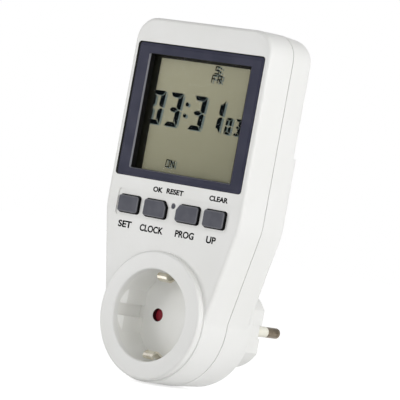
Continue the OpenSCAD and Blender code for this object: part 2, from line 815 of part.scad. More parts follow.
// Cup of the socket, with guide ribs at both sides, two entry holes and the shutter's pivot
module socket_insert() {
    cup_y = face_y + 0.05;
    rib_y = cup_y + 2.2;
    color("ghostwhite") difference() {
        union() {
            turned([[recess_r, cup_y], [insert_r, cup_y], [insert_r, insert_back_y - insert_flange_t],
                [insert_flange_r, insert_back_y - insert_flange_t], [insert_flange_r, insert_back_y],
                [0, insert_back_y], [0, floor_y], [recess_r, floor_y]]);
            // Guide ribs: a flat chord at each side, bevelled at the mouth, with a groove
            intersection() {
                for (s = [-1, 1]) difference() {
                    translate([0, 0, -rib_half_h]) linear_extrude(2 * rib_half_h)
                        polygon([[s * 21, cup_y], [s * (recess_r - 0.3), cup_y], [s * rib_x, rib_y],
                            [s * rib_x, floor_y + 0.1], [s * 21, floor_y + 0.1]]);
                    block([-30, cup_y - past, -rib_groove], [30, floor_y, rib_groove]);
                }
                bar(cup_y, floor_y + 0.1, recess_r + 0.1);
            }
            bar(insert_back_y, carrier_y - 0.1, pivot_r);
            for (p = carrier_posts) bar(insert_back_y, carrier_y, 2.6, p[0], p[1]);
            // Stop of the shutter's spring
            block([-7, insert_back_y, spring_z1 + 0.05], [-2.8, carrier_y - 0.1, spring_z1 + 1.5]);
        }
        for (s = [-1, 1]) {
            bar(floor_y - past, insert_back_y + past, entry_r, s * pin_x, 0);
            block([-arm_half_w - 0.2, floor_y - past, s * arm_z - 0.6],
                [arm_half_w + 0.2, insert_back_y + past, s * arm_z + 0.6]);
        }
        for (p = carrier_posts) bar(insert_back_y + 0.4, carrier_y + past, 1, p[0], p[1]);
    }
}

// Turning shutter: two wings on a hub, which close both entry holes
module child_shutter() {
    color("firebrick") difference() {
        union() {
            slab(shutter_y, shutter_y + shutter_t) intersection() {
                circle(shutter_reach);
                square([2 * shutter_reach, 2 * shutter_half_h], center = true);
            }
            bar(shutter_y, carrier_y - 0.1, shutter_hub_r - 1);
            // Ramps that the pins push aside
            for (s = [-1, 1]) rotate([0, s > 0 ? 0 : 180, 0])
                translate([shutter_hub_r, 0, 0]) rotate([90, 0, 90]) linear_extrude(8)
                    polygon([[shutter_y + shutter_t - 0.1, -shutter_half_h],
                        [shutter_y + shutter_t + 0.7, -shutter_half_h],
                        [shutter_y + shutter_t - 0.1, shutter_half_h]]);
        }
        bar(shutter_y - past, carrier_y + past, pivot_r + pivot_play);
    }
}

// Spring that returns the shutter: a wire coil, swept with six sides along its helix
module shutter_spring() {
    steps = 10 * spring_turns;
    sides = 6;
    y = shutter_y + 1.45;
    rise = (spring_z1 - spring_z0 - 2 * spring_wire_r) / steps;
    points = [for (k = [0:steps]) let (a = 36 * k) for (j = [0:sides - 1])
        let (b = 360 / sides * j, r = spring_r + spring_wire_r * cos(b))
        [spring_x + r * cos(a), y + r * sin(a),
            spring_z0 + spring_wire_r + rise * k + spring_wire_r * sin(b)]];
    walls = [for (k = [0:steps - 1]) for (j = [0:sides - 1])
        let (a = k * sides + j, b = k * sides + (j + 1) % sides, c = b + sides, d = a + sides)
        for (f = [[a, b, c], [a, c, d]]) f];
    ends = [[for (j = [sides - 1:-1:0]) j], [for (j = [0:sides - 1]) steps * sides + j]];
    color("silver") polyhedron(points = points, faces = concat(ends, walls));
}

// Carrier behind the shutter, with a round tower for each contact clip
module contact_carrier() {
    color("lightgray") difference() {
        union() {
            bar(carrier_y, carrier_y + carrier_t, carrier_r);
            for (s = [-1, 1]) bar(carrier_y, clip_plate_y - 0.1, tower_r, s * pin_x, 0);
        }
        for (s = [-1, 1]) {
            bar(carrier_y - past, carrier_y + carrier_t, entry_r, s * pin_x, 0);
            bar(carrier_y + carrier_t, 0, clip_out_r + 0.1, s * pin_x, 0);
            block([-arm_half_w - 0.2, carrier_y - past, s * arm_z - 0.6],
                [arm_half_w + 0.2, carrier_y + carrier_t + past, s * arm_z + 0.6]);
        }
        for (p = carrier_posts) bar(carrier_y - past, carrier_y + carrier_t + past, 1.2, p[0], p[1]);
    }
}

// Contact clip that grips one pin of the inserted plug; top is the height of its plate
module contact_clip(s, top) {
    color("goldenrod") difference() {
        union() {
            bar(clip_y0, clip_plate_y, clip_out_r, s * pin_x, 0);
            block([s * pin_x - 3.6, clip_plate_y, -4.5], [s * pin_x + 3.6, clip_plate_back_y, top]);
        }
        bar(clip_y0 - past, clip_plate_back_y + past, clip_in_r, s * pin_x, 0);
        block([s * pin_x - 0.5, clip_y0 - past, -5], [s * pin_x + 0.5, clip_plate_y - 1.5, 5]);
    }
}

// ---- earth strap ---------------------------------------------------------------------------

// Bracket whose arms bulge into the recess from above and below
module front_earth_bracket() {
    lip = [[-53.3, 18.2], [-54.1, 17.9], [-54.5, 17.2], [-54.1, 16.4]];
    bulge = [[-53, 15.5], [-52, 15.2], [-51, 15.4], [-47.4, 17.3]];
    path = both_ways(concat(lip, bulge, [[-45.6, 18.2], [-44, arm_z], [bridge_y, arm_z]]));
    color("silver") difference() {
        bent_strip(path, -arm_half_w, arm_half_w);
        bar(bridge_y - 1, bridge_y + 1, rivet_r + 0.05);
    }
}

// Bracket whose arms come out through the plug body and lie in its two channels
module rear_earth_bracket() {
    path = both_ways([[-1.6, rear_contact_z], [-5, 16.6], [-9, 16.6], [-12.5, rear_contact_z],
        [rear_step_y, rear_contact_z], [rear_step_y, rear_arm_z],
        [bridge_y + strip_t, rear_arm_z]]);
    color("silver") difference() {
        bent_strip(path, -rear_arm_half_w, rear_arm_half_w);
        bar(bridge_y, bridge_y + 2, rivet_r + 0.05);
    }
}

// Rivet through both brackets
module earth_rivet() {
    y0 = bridge_y - strip_t / 2;
    y1 = bridge_y + 1.5 * strip_t;
    color("gainsboro") union() {
        bar(y0 - rivet_head_t, y0, rivet_head_r);
        bar(y0, y1, rivet_r);
        bar(y1, y1 + rivet_head_t, rivet_head_r);
    }
}

// ---- live and neutral ----------------------------------------------------------------------

// Strip from a pin's head through the plug body and up to the power board
module pin_busbar(s) {
    path = [[pin_head_y - strip_t / 2, -2.6], [pin_head_y - strip_t / 2, bus_z],
        [bus_riser_y, bus_z], [bus_riser_y, bus_top_z]];
    x0 = s > 0 ? bus_x0 : -bus_x0 - bus_w;
    color("goldenrod") bent_strip(path, x0, x0 + bus_w);
}

module live_busbar() pin_busbar(1);

// The neutral strip also reaches forward to the neutral clip
module neutral_busbar() {
    color("goldenrod") union() {
        pin_busbar(-1);
        block([-bus_x0 - bus_w, clip_plate_back_y, bus_z - strip_t / 2],
            [-bus_x0, bus_riser_y, bus_z + strip_t / 2]);
    }
}

// Strip from the relay's side of the power board down to the live clip
module switched_busbar() {
    top_z = 51.6;
    foot_z = 5.9;
    riser_y = -34.4;
    path = [[clip_plate_y + strip_t / 2, 4.5], [clip_plate_y + strip_t / 2, foot_z],
        [riser_y, foot_z], [riser_y, top_z], [power_y - 0.05, top_z]];
    color("goldenrod") bent_strip(path, bus_x0, bus_x0 + bus_w);
}

// Plug pin: a head inside the plug body, a thin core in the sleeve and a full-size tip
module plug_pin(s) {
    tip_edge = 1;
    color("rosybrown") translate([s * pin_x, 0, 0]) turned(concat(
        [[0, pin_head_y], [pin_head_r, pin_head_y], [pin_head_r, plug_floor_y],
            [pin_core_r, plug_floor_y], [pin_core_r, sleeve_length], [pin_r, sleeve_length]],
        arc(pin_r - tip_edge, pin_length - tip_edge, tip_edge, 0, 90, 6),
        [[0, pin_length]]));
}

// Insulating sleeves moulded round the pins
module pin_sleeves() {
    color("ivory") for (s = [-1, 1]) difference() {
        bar(plug_floor_y, sleeve_length, pin_r, s * pin_x, 0);
        bar(plug_floor_y - past, sleeve_length + past, pin_core_r + 0.02, s * pin_x, 0);
    }
}

// ---- screws --------------------------------------------------------------------------------

// Pan-head screw along Y, with its head towards +Y and a cross slot
module screw(p, tip_y, seat_y, r, head, t) {
    color("silver") difference() {
        union() {
            bar(tip_y, seat_y, r, p[0], p[1]);
            bar(seat_y, seat_y + t, head, p[0], p[1]);
        }
        for (a = [0, 90]) translate([p[0], seat_y + t, p[1]]) rotate([0, a, 0])
            block([-head * 0.6, -t * 0.5, -head * 0.13], [head * 0.6, 1, head * 0.13]);
    }
}

module case_screws() for (p = case_posts) screw(p, joint_y - 8, head_seat_y, 1.45, head_r, head_t);

module logic_board_screws() for (p = logic_posts) screw(p, logic_y - 4.5, logic_back_y, 0.9, 1.9, 1.4);

module carrier_screws() for (p = carrier_posts)
    screw(p, insert_back_y + 0.6, carrier_y + carrier_t, 0.95, 2, 1.3);

// These screws come from the front, so they are turned round
module power_board_screws() {
    for (p = power_posts) translate([0, 2 * power_y, 0]) mirror([0, 1, 0])
        screw(p, 2 * power_y - power_pilot_y + 0.1, power_y, 1.1, 2.2, 1.6);
}

front_cover();
rear_cover();
display_bezel();
display_lens();
lcd_panel();
lcd_reflector();
lcd_frame();
zebra_strip();
key_cap(0);  // set_key
key_cap(1);  // clock_key
key_cap(2);  // prog_key
key_cap(3);  // up_key
reset_key();
switch_plunger(key_x[0], key_z, plunger_r);  // set_plunger
switch_plunger(key_x[1], key_z, plunger_r);  // clock_plunger
switch_plunger(key_x[2], key_z, plunger_r);  // prog_plunger
switch_plunger(key_x[3], key_z, plunger_r);  // up_plunger
switch_plunger(0, reset_z, reset_plunger_r);  // reset_plunger
key_switches();
logic_board();
logic_chip();
clock_crystal();
backup_battery();
battery_tabs();
board_link();
power_board();
relay_case();
relay_base();
relay_bobbin();
relay_winding();
relay_yoke();
relay_armature();
relay_contact();
dropper_capacitor();
smoothing_capacitor();
surge_varistor();
mains_fuse();
rectifier_diodes();
bleed_resistors();
socket_insert();
child_shutter();
shutter_spring();
contact_carrier();
contact_clip(1, 4.5);  // live_clip
contact_clip(-1, 8.5);  // neutral_clip
front_earth_bracket();
rear_earth_bracket();
earth_rivet();
live_busbar();
neutral_busbar();
switched_busbar();
plug_pin(1);  // live_pin
plug_pin(-1);  // neutral_pin
pin_sleeves();
case_screws();
logic_board_screws();
power_board_screws();
carrier_screws();
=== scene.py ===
# A timer switch that plugs into the wall socket, dressed piece by piece over its solid model.
# Places are in millimetres, x to the right, y from the front to the back and z upwards, counted
# from the middle of the plug's face. A place is turned into the frame's metres by mm.

import bmesh
import bpy
import numpy as np
from mathutils import Matrix, Vector


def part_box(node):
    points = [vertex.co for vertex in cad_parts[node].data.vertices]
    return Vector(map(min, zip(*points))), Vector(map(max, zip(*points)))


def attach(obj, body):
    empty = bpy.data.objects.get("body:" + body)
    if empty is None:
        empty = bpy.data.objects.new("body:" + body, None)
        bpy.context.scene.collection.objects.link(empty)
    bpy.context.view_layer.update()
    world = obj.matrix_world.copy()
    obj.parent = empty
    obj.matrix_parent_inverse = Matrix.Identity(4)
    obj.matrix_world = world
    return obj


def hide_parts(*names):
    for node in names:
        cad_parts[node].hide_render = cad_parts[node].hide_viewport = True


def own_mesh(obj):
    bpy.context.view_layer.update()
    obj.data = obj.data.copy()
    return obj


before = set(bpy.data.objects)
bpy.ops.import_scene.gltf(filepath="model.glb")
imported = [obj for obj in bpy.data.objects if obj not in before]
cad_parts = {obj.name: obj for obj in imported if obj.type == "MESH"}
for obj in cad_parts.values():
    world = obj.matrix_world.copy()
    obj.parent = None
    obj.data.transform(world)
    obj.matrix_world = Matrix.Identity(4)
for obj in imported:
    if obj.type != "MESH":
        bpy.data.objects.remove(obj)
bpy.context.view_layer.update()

# ---- Studio ---------------------------------------------------------------------------------
# A white tent, dimmer overhead, lights the timer from all round. Two small soft lamps stand in
# front of it, at the left and the right, and a large one at its right side. The long lens stands
# to the right of the face and is rolled, so that the timer leans.

mm = 0.001


def put(tree, kind, sockets=None, **settings):
    """Adds a shader node with these settings. Each socket is set to its value, or joined to the
    output that is given for it."""
    node = tree.nodes.new("ShaderNode" + kind)
    for key, value in settings.items():
        setattr(node, key, value)
    for key, value in (sockets or {}).items():
        if isinstance(value, bpy.types.NodeSocket):
            tree.links.new(value, node.inputs[key])
        else:
            node.inputs[key].default_value = value
    return node


def sums(tree, operation, *terms):
    """Result of a Math node over the terms."""
    return put(tree, "Math", dict(enumerate(terms)), operation=operation).outputs[0]


def seen_directly(tree):
    """1 on the way to the camera, into a reflection or through glass, 0 for light on surfaces."""
    rays = put(tree, "LightPath").outputs
    near = sums(tree, "MAXIMUM", rays["Is Camera Ray"], rays["Is Glossy Ray"])
    return sums(tree, "MAXIMUM", near, rays["Is Transmission Ray"])


even_light = 0.69
overhead = 0.45
world_dims_from = 0.1
world = bpy.data.worlds.new("white_room")
world.use_nodes = True
bpy.context.scene.world = world
air = world.node_tree
air.nodes["Background"].inputs["Color"].default_value = (1, 1, 1, 1)
looking = put(air, "SeparateXYZ", {0: put(air, "TexCoord").outputs["Generated"]}).outputs
fading = put(air, "MapRange", {"Value": looking["Z"], "From Min": world_dims_from,
                               "To Max": overhead, "To Min": 1.0}).outputs[0]
glare = sums(air, "MULTIPLY_ADD", seen_directly(air), 1 - even_light, even_light)
air.links.new(sums(air, "MAXIMUM", sums(air, "MULTIPLY", glare, fading),
                   put(air, "LightPath").outputs["Is Camera Ray"]),
              air.nodes["Background"].inputs["Strength"])


def soft_lamp(name, place, aim, size, watts):
    """Square lamp of that size in metres, at a place and turned to its aim."""
    light = bpy.data.lights.new(name, "AREA")
    light.energy = watts
    light.size = size
    lamp = bpy.data.objects.new(name, light)
    bpy.context.collection.objects.link(lamp)
    lamp.location = place
    lamp.rotation_euler = (Vector(aim) - Vector(place)).to_track_quat("-Z", "Y").to_euler()


timer_middle = (0, -0.03, 0.05)
soft_lamp("front_lamp", (-0.38, -0.49, 0.04), timer_middle, 0.3, 1.1)
soft_lamp("right_lamp", (0.5, -0.45, 0.05), timer_middle, 0.2, 0.45)
soft_lamp("side_lamp", (1.32, 0.02, 0.2), timer_middle, 0.9, 10.8)

floor_z = -0.0292
floor_reach = 4.0
floor_paint = (0.88, 0.88, 0.88, 1)
floor_glow = 0.64
stretch = np.array([-1, 1, 1, -1]) * floor_reach
floor_points = np.stack([stretch, np.roll(stretch, -1), np.full(4, floor_z)], -1)
floor_mesh = bpy.data.meshes.new("floor")
floor_mesh.from_pydata(floor_points[::-1].tolist(), [], [[0, 1, 2, 3]])
floor = bpy.data.objects.new("floor", floor_mesh)
bpy.context.collection.objects.link(floor)

# White paper, which glows a little where it is seen directly and isn't seen from below
sheet = bpy.data.materials.new("white_floor")
sheet.use_nodes = True
paper = sheet.node_tree
paper.nodes.clear()
lit = put(paper, "BsdfDiffuse", {"Color": floor_paint})
glow = put(paper, "Emission", {
    "Strength": sums(paper, "MULTIPLY", seen_directly(paper), floor_glow)})
both = put(paper, "AddShader", {0: lit.outputs[0], 1: glow.outputs[0]})
from_below = put(paper, "MixShader", {0: put(paper, "NewGeometry").outputs["Backfacing"],
                                      1: both.outputs[0],
                                      2: put(paper, "BsdfTransparent").outputs[0]})
put(paper, "OutputMaterial", {"Surface": from_below.outputs[0]})
floor_mesh.materials.append(sheet)

# The camera looks along -back, its turns given as yaw, rise and roll in degrees
camera_place = Vector((0.7594, -0.9618, 0.0448))
yaw, rise, roll = np.radians([39.448, -0.343, 10.371])
back = Vector((np.sin(yaw) * np.cos(rise), -np.cos(yaw) * np.cos(rise), np.sin(rise)))
sideways = Vector((np.cos(yaw), np.sin(yaw), 0))
upright = back.cross(sideways)
lens = bpy.data.cameras.new("camera")
lens.lens = 250.58
lens.sensor_width = 36
lens.clip_end = 50
camera = bpy.data.objects.new("camera", lens)
bpy.context.collection.objects.link(camera)
turned = Matrix((sideways * np.cos(roll) + upright * np.sin(roll),
                 upright * np.cos(roll) - sideways * np.sin(roll), back)).transposed()
camera.matrix_world = Matrix.Translation(camera_place) @ turned.to_4x4()
bpy.context.scene.camera = camera
bpy.context.scene.view_settings.view_transform = "Standard"

# ---- The two covers -------------------------------------------------------------------------
# The case is moulded from white plastic in two shells, the front one with the collar round the
# socket, the rear one with the plug's body. Both have a satin, very finely eroded surface.


def paint(red, green, blue):
    """Colour of those display values, 0 to 255, as the linear colour that shaders take."""
    shown = np.array([red, green, blue]) / 255
    linear = np.where(shown < 0.04045, shown / 12.92, ((shown + 0.055) / 1.055) ** 2.4)
    return (*linear.tolist(), 1.0)


def group(name, inputs, outputs):
    """Starts a shader group with named inputs, given by their first values, and named outputs,
    given by their kinds. Gives back its tree, its inputs' and its outputs' sockets."""
    tree = bpy.data.node_groups.new(name, "ShaderNodeTree")
    for key, value in inputs.items():
        kind = {1: "Float", 3: "Vector", 4: "Color"}[np.size(value)]
        socket = tree.interface.new_socket(key, in_out="INPUT", socket_type="NodeSocket" + kind)
        socket.default_value = value
    for key, kind in outputs.items():
        tree.interface.new_socket(key, in_out="OUTPUT", socket_type="NodeSocket" + kind)
    return (tree, tree.nodes.new("NodeGroupInput").outputs,
            tree.nodes.new("NodeGroupOutput").inputs)


def noise(tree, millimetres, detail=2.0):
    """Noise from 0 to 1 whose lumps are about that many millimetres across."""
    where = put(tree, "TexCoord").outputs["Object"]
    scale = sums(tree, "DIVIDE", 1000.0, millimetres)
    return put(tree, "TexNoise", {"Vector": where, "Scale": scale, "Detail": detail}).outputs[0]


def sharpen(tree, value, low, high):
    """0 below low, 1 above high, a smooth step between."""
    return put(tree, "MapRange", {"Value": value, "From Min": low, "From Max": high},
               interpolation_type="SMOOTHSTEP").outputs[0]


def mingle(tree, amount, one, other):
    """Colour that goes from one to the other as the amount goes from 0 to 1."""
    return put(tree, "Mix", {0: amount, 6: one, 7: other}, data_type="RGBA").outputs[2]


SURFACE = {"Colour": "Color", "Roughness": "Float", "Height": "Float"}

# Moulded plastic: colour that drifts in wide soft patches, an eroded grain, and a gloss that
# varies with both
moulded, given, gives = group("moulded_plastic", {
    "Colour": (1, 1, 1, 1), "Second colour": (0.9, 0.9, 0.9, 1), "Patch": 14.0, "Grain": 0.35,
    "Roughness": 0.35, "Spread": 0.08}, SURFACE)
patches = sharpen(moulded, noise(moulded, given["Patch"], 3.0), 0.3, 0.7)
grain = noise(moulded, given["Grain"])
moulded.links.new(mingle(moulded, patches, given["Colour"], given["Second colour"]),
                  gives["Colour"])
moulded.links.new(sums(moulded, "MULTIPLY_ADD", sums(moulded, "SUBTRACT", patches, grain),
                       given["Spread"], given["Roughness"]), gives["Roughness"])
moulded.links.new(grain, gives["Height"])


def finish(name, surface, values, bump, **shader):
    """Material whose colour, roughness and height come from a surface group set to the values;
    bump is the height's depth in millimetres, and the rest are the shader's own sockets."""
    material = bpy.data.materials.new(name)
    material.use_nodes = True
    tree = material.node_tree
    skin = tree.nodes["Principled BSDF"]
    effect = tree.nodes.new("ShaderNodeGroup")
    effect.node_tree = surface
    for key, value in values.items():
        effect.inputs[key].default_value = value
    tree.links.new(effect.outputs["Colour"], skin.inputs["Base Color"])
    tree.links.new(effect.outputs["Roughness"], skin.inputs["Roughness"])
    relief = put(tree, "Bump", {"Height": effect.outputs["Height"], "Distance": bump * mm})
    tree.links.new(relief.outputs[0], skin.inputs["Normal"])
    for key, value in shader.items():
        skin.inputs[key.replace("_", " ")].default_value = value
    material.diffuse_color = values.get("Colour", (0.5, 0.5, 0.5, 1))
    return material


def dress(material, *nodes):
    """Gives the solids of these names the material."""
    for node in nodes:
        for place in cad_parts[node].material_slots:
            place.material = material


# Geometry nodes that shade a mesh smooth, except over edges that bend by more than 30 degrees
sharp_bend, same_place = np.radians(30), 0.001 * mm
edge_marks = bpy.data.node_groups.new("sharp_over_30_degrees", "GeometryNodeTree")
for way in ("INPUT", "OUTPUT"):
    edge_marks.interface.new_socket("Geometry", in_out=way, socket_type="NodeSocketGeometry")
enters = edge_marks.nodes.new("NodeGroupInput")
leaves = edge_marks.nodes.new("NodeGroupOutput")
bend = edge_marks.nodes.new("GeometryNodeInputMeshEdgeAngle")
sharp = edge_marks.nodes.new("FunctionNodeCompare")
sharp.operation = "GREATER_THAN"
sharp.inputs[1].default_value = sharp_bend
edge_marks.links.new(bend.outputs[0], sharp.inputs[0])
all_smooth = edge_marks.nodes.new("GeometryNodeSetShadeSmooth")
not_there = edge_marks.nodes.new("GeometryNodeSetShadeSmooth")
not_there.domain = "EDGE"
not_there.inputs["Shade Smooth"].default_value = False
edge_marks.links.new(enters.outputs[0], all_smooth.inputs[0])
edge_marks.links.new(all_smooth.outputs[0], not_there.inputs[0])
edge_marks.links.new(sharp.outputs[0], not_there.inputs["Selection"])
edge_marks.links.new(not_there.outputs[0], leaves.inputs[0])


def soften(*nodes):
    """Shades a solid's small facets as one surface: its triangles are joined, edges that bend by
    more than 30 degrees stay sharp, and wide faces weigh most in each corner's normal."""
    for node in nodes:
        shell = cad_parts[node]
        shell.modifiers.new("joined", "WELD").merge_threshold = same_place
        shell.modifiers.new("edges", "NODES").node_group = edge_marks
        shell.modifiers.new("normals", "WEIGHTED_NORMAL").keep_sharp = True


white_case = finish("white_case", moulded, {
    "Colour": paint(233, 233, 231), "Second colour": paint(231, 231, 228), "Patch": 30.0,
    "Grain": 0.3, "Roughness": 0.34, "Spread": 0.05}, 0.004, Specular_IOR_Level=0.35)
dress(white_case, "front_cover", "rear_cover")
soften("front_cover", "rear_cover")

# ---- Display frame --------------------------------------------------------------------------
# A dark blue moulded frame, pressed into the front cover's opening. Its outer edge is rounded,
# a shallow step runs round it, and a bevel leads down to the window.

corner_steps, edge_steps = 5, 5


def rectangle(width, height, x=0.0, z=0.0):
    """Corners of a rectangle round (x, z), anticlockwise."""
    signs = np.array([[1, -1], [1, 1], [-1, 1], [-1, -1]])
    return signs * (width / 2, height / 2) + (x, z)


def rounded(points, radius, inset=0.0):
    """Outline of a convex polygon moved inwards by the inset, with rounded corners. Two edges
    with outward normals a and b meet there in the corner - (a + b) * (inset + radius) / (1 + a.b),
    which is the centre of an arc that turns from a to b."""
    points = np.asarray(points, float)
    along = np.roll(points, -1, 0) - points
    along /= np.linalg.norm(along, axis=1, keepdims=True)
    normal = np.stack([along[:, 1], -along[:, 0]], -1)
    before = np.roll(normal, 1, 0)
    spread = 1 + (before * normal).sum(1, keepdims=True)
    centre = points - (before + normal) * (inset + radius) / spread
    start = np.arctan2(before[:, 1], before[:, 0])
    turn = np.arctan2(normal[:, 1], normal[:, 0]) - start
    turn = np.where(turn < 0, turn + 2 * np.pi, turn)
    angle = start[:, None] + turn[:, None] * np.linspace(0, 1, corner_steps + 1)
    arc = np.stack([np.cos(angle), np.sin(angle)], -1)
    return (centre[:, None] + radius * arc).reshape(-1, 2)


def at_depth(outline, y):
    """The outline of points (x, z) as points (x, y, z)."""
    return np.insert(outline, 1, y, axis=1)


def round_over(radius):
    """Pairs of inset and depth over a rounded edge: radius * (1 - cos t, 1 - sin t) for t from 0
    at the side to 90 degrees at the front."""
    t = np.linspace(0, np.pi / 2, edge_steps)
    return np.stack([radius * (1 - np.cos(t)), radius * (1 - np.sin(t))], -1)


def piece(name, parts, body, material, crease=32):
    """Object made of closed skins. Each part is an array of rings of equally many points; quads
    join a ring to the next one, and flat faces close the first and last ring. A part given as a
    list of one array has its last ring joined to its first instead."""
    points, faces, count = [], [], 0
    for part in parts:
        hoop = isinstance(part, list)
        rings = np.asarray(part[0] if hoop else part, float)
        n, m = rings.shape[:2]
        i, j = np.meshgrid(np.arange(n if hoop else n - 1), np.arange(m), indexing="ij")
        near, far, step = i * m, (i + 1) % n * m, (j + 1) % m
        quads = np.stack([near + j, near + step, far + step, far + j], -1).reshape(-1, 4) + count
        ends = [] if hoop else [np.arange(m)[::-1] + count, np.arange(m) + count + (n - 1) * m]
        faces += quads.tolist() + [end.tolist() for end in ends]
        points.append(rings.reshape(-1, 3) * mm)
        count += n * m
    mesh = bpy.data.meshes.new(name)
    mesh.from_pydata(np.concatenate(points).tolist(), [], faces)
    whole = bmesh.new()
    whole.from_mesh(mesh)
    if whole.calc_volume(signed=True) < 0:
        bmesh.ops.reverse_faces(whole, faces=whole.faces)
    whole.to_mesh(mesh)
    whole.free()
    mesh.polygons.foreach_set("use_smooth", np.ones(len(mesh.polygons), bool))
    mesh.set_sharp_from_angle(angle=np.radians(crease))
    mesh.materials.append(material)
    made = bpy.data.objects.new(name, mesh)
    bpy.context.collection.objects.link(made)
    made.modifiers.new("normals", "WEIGHTED_NORMAL").keep_sharp = True
    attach(made, body)
    return made


navy = finish("navy_plastic", moulded, {
    "Colour": paint(42, 43, 64), "Second colour": paint(37, 39, 59), "Patch": 9.0,
    "Grain": 0.25, "Roughness": 0.42, "Spread": 0.08}, 0.006, Specular_IOR_Level=0.15)
frame_front, frame_back, seat_y = -56.45, -52.1, -53.35
flange_back, step_depth, bevel_depth = -54.95, 0.14, 0.7
pocket = rectangle(70.36, 58.46, 0, 86.1)
flange = rectangle(69.2, 58.0, 0.5, 85.95)
window = rectangle(55.7, 49.85, 0.65, 85.62)
window_front = rectangle(57.1, 50.25, 0.65, 85.42)
flange_r, front_r, window_r = 1.5, 0.8, 0.4
skirt_inset, seat_inset, rim_depth, rim_round = 1.7, -1.2, 0.16, 0.3
skirt = [at_depth(rounded(flange, 0.4, skirt_inset), y) for y in (frame_back, flange_back)]
flange_rim = [at_depth(rounded(flange, flange_r), flange_back)]
flange_edge = [at_depth(rounded(flange, flange_r - inset, inset), frame_front + rim_depth + depth)
               for inset, depth in round_over(rim_round)]
step_round = [at_depth(rounded(flange, 0.6, inset), frame_front + depth)
              for inset, depth in ((1.1, step_depth), (1.25, 0))]
bevel = [at_depth(rounded(window_front, front_r), frame_front),
         at_depth(rounded(window, window_r), frame_front + bevel_depth)]
seat = [at_depth(rounded(window, window_r, inset), y)
        for inset, y in ((0, seat_y), (seat_inset, seat_y), (seat_inset, frame_back))]
display_frame = piece("display_frame", [[np.array(
    skirt + flange_rim + flange_edge + step_round + bevel + seat)]],
    "case", navy)
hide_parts("display_bezel")

# The bevel is polished, and its colour is painted paler than the rest: a painted highlight on its
# slope
bevel_highlight_navy = finish("polished_bevel_highlight", moulded, {
    "Colour": paint(122, 123, 130), "Second colour": paint(116, 117, 124), "Patch": 6.0,
    "Grain": 0.2, "Roughness": 0.3, "Spread": 0.05}, 0.002, Specular_IOR_Level=0.3)
bevel_back = [at_depth(rounded(window, window_r), frame_front + bevel_depth + 0.05),
              at_depth(rounded(window_front, front_r), frame_front + 0.05)]
bevel_front = [at_depth(rounded(window_front, front_r, 0.02), frame_front - 0.01),
               at_depth(rounded(window, window_r, 0.02), frame_front + bevel_depth)]
# A paler sheet over the bevel: painted highlight
piece("window_bevel", [[np.array(bevel_back + bevel_front)]], "case", bevel_highlight_navy)

# Matt black: a lining on the window's walls, which keeps stray light off the pane, and a ring in
# the joint between the frame and its pocket, widest at the left and the top, which paints the
# joint's shade
black_lining_and_joint_shade = finish("black_lining_and_joint_shade", moulded, {
    "Colour": paint(14, 14, 14), "Second colour": paint(18, 18, 17), "Patch": 3.0,
    "Grain": 0.15, "Roughness": 0.7, "Spread": 0.1}, 0.004, Specular_IOR_Level=0.15)
lining_front, gap_shade_front = -56.0, -56.2
lining = [at_depth(rounded(window, window_r - inset, inset), y)
          for inset, y in ((0.01, lining_front), (0.07, lining_front), (0.07, seat_y),
                           (0.01, seat_y))]
piece("window_lining", [[np.array(lining)]], "case", black_lining_and_joint_shade)
# The ring stands a little proud of the cover: painted shade of the joint, widest at the left and
# the top
gap_shade = [at_depth(rounded(pocket, flange_r), y) for y in (flange_back, gap_shade_front)]
gap_shade += [at_depth(rounded(flange, flange_r, 0.02), y) for y in (gap_shade_front, flange_back)]
piece("frame_gap_shade", [[np.array(gap_shade)]], "case", black_lining_and_joint_shade)

# ---- Window and liquid crystal cell ---------------------------------------------------------
# A clear pane with a black printed border lies in the frame. Behind it stands the cell: two
# glasses with polarisers over a white foil, whose dark segments throw a soft shadow on the foil.

clear = bpy.data.materials.new("clear_acrylic")
clear.use_nodes = True
pane = clear.node_tree.nodes["Principled BSDF"]
haze = noise(clear.node_tree, 18.0, 4.0)
clear.node_tree.links.new(sums(clear.node_tree, "MULTIPLY_ADD", haze, 0.03, 0.03),
                          pane.inputs["Roughness"])
clear.node_tree.links.new(mingle(clear.node_tree, haze, paint(30, 32, 32), paint(22, 24, 24)),
                          pane.inputs["Base Color"])
pane.inputs["Alpha"].default_value = 0.04
pane.inputs["Specular IOR Level"].default_value = 0.2
dress(clear, "display_lens")

ink = finish("black_ink", moulded, {
    "Colour": paint(24, 24, 16), "Second colour": paint(29, 29, 20), "Patch": 3.0,
    "Grain": 0.08, "Roughness": 0.6, "Spread": 0.1}, 0.002, Specular_IOR_Level=0.15)
view_left, view_right, view_top, view_bottom = -24.3, 26.4, 109.45, 59.6
opening = rectangle(view_right - view_left, view_top - view_bottom,
                    (view_left + view_right) / 2, (view_top + view_bottom) / 2)
pane_edge = rectangle(58.0, 51.7, 0, 85.6)
border_front, border_back = -52.14, -52.11
border = [at_depth(rounded(outline, 0.3), y)
          for outline, y in ((pane_edge, border_front), (opening, border_front),
                             (opening, border_back), (pane_edge, border_back))]
piece("window_border", [[np.array(border)]], "case", ink)

# Ground of the cell: olive grey with the polariser's faint mottling, and painted light: lighter at
# the upper left and darker towards the lower right
crystal, given, gives = group("crystal_ground", {
    "Upper": (0.3, 0.3, 0.22, 1), "Lower": (0.2, 0.2, 0.14, 1), "Top": 0.11, "Bottom": 0.06,
    "Roughness": 0.3}, SURFACE)
axes = put(crystal, "SeparateXYZ", {0: put(crystal, "TexCoord").outputs["Object"]}).outputs
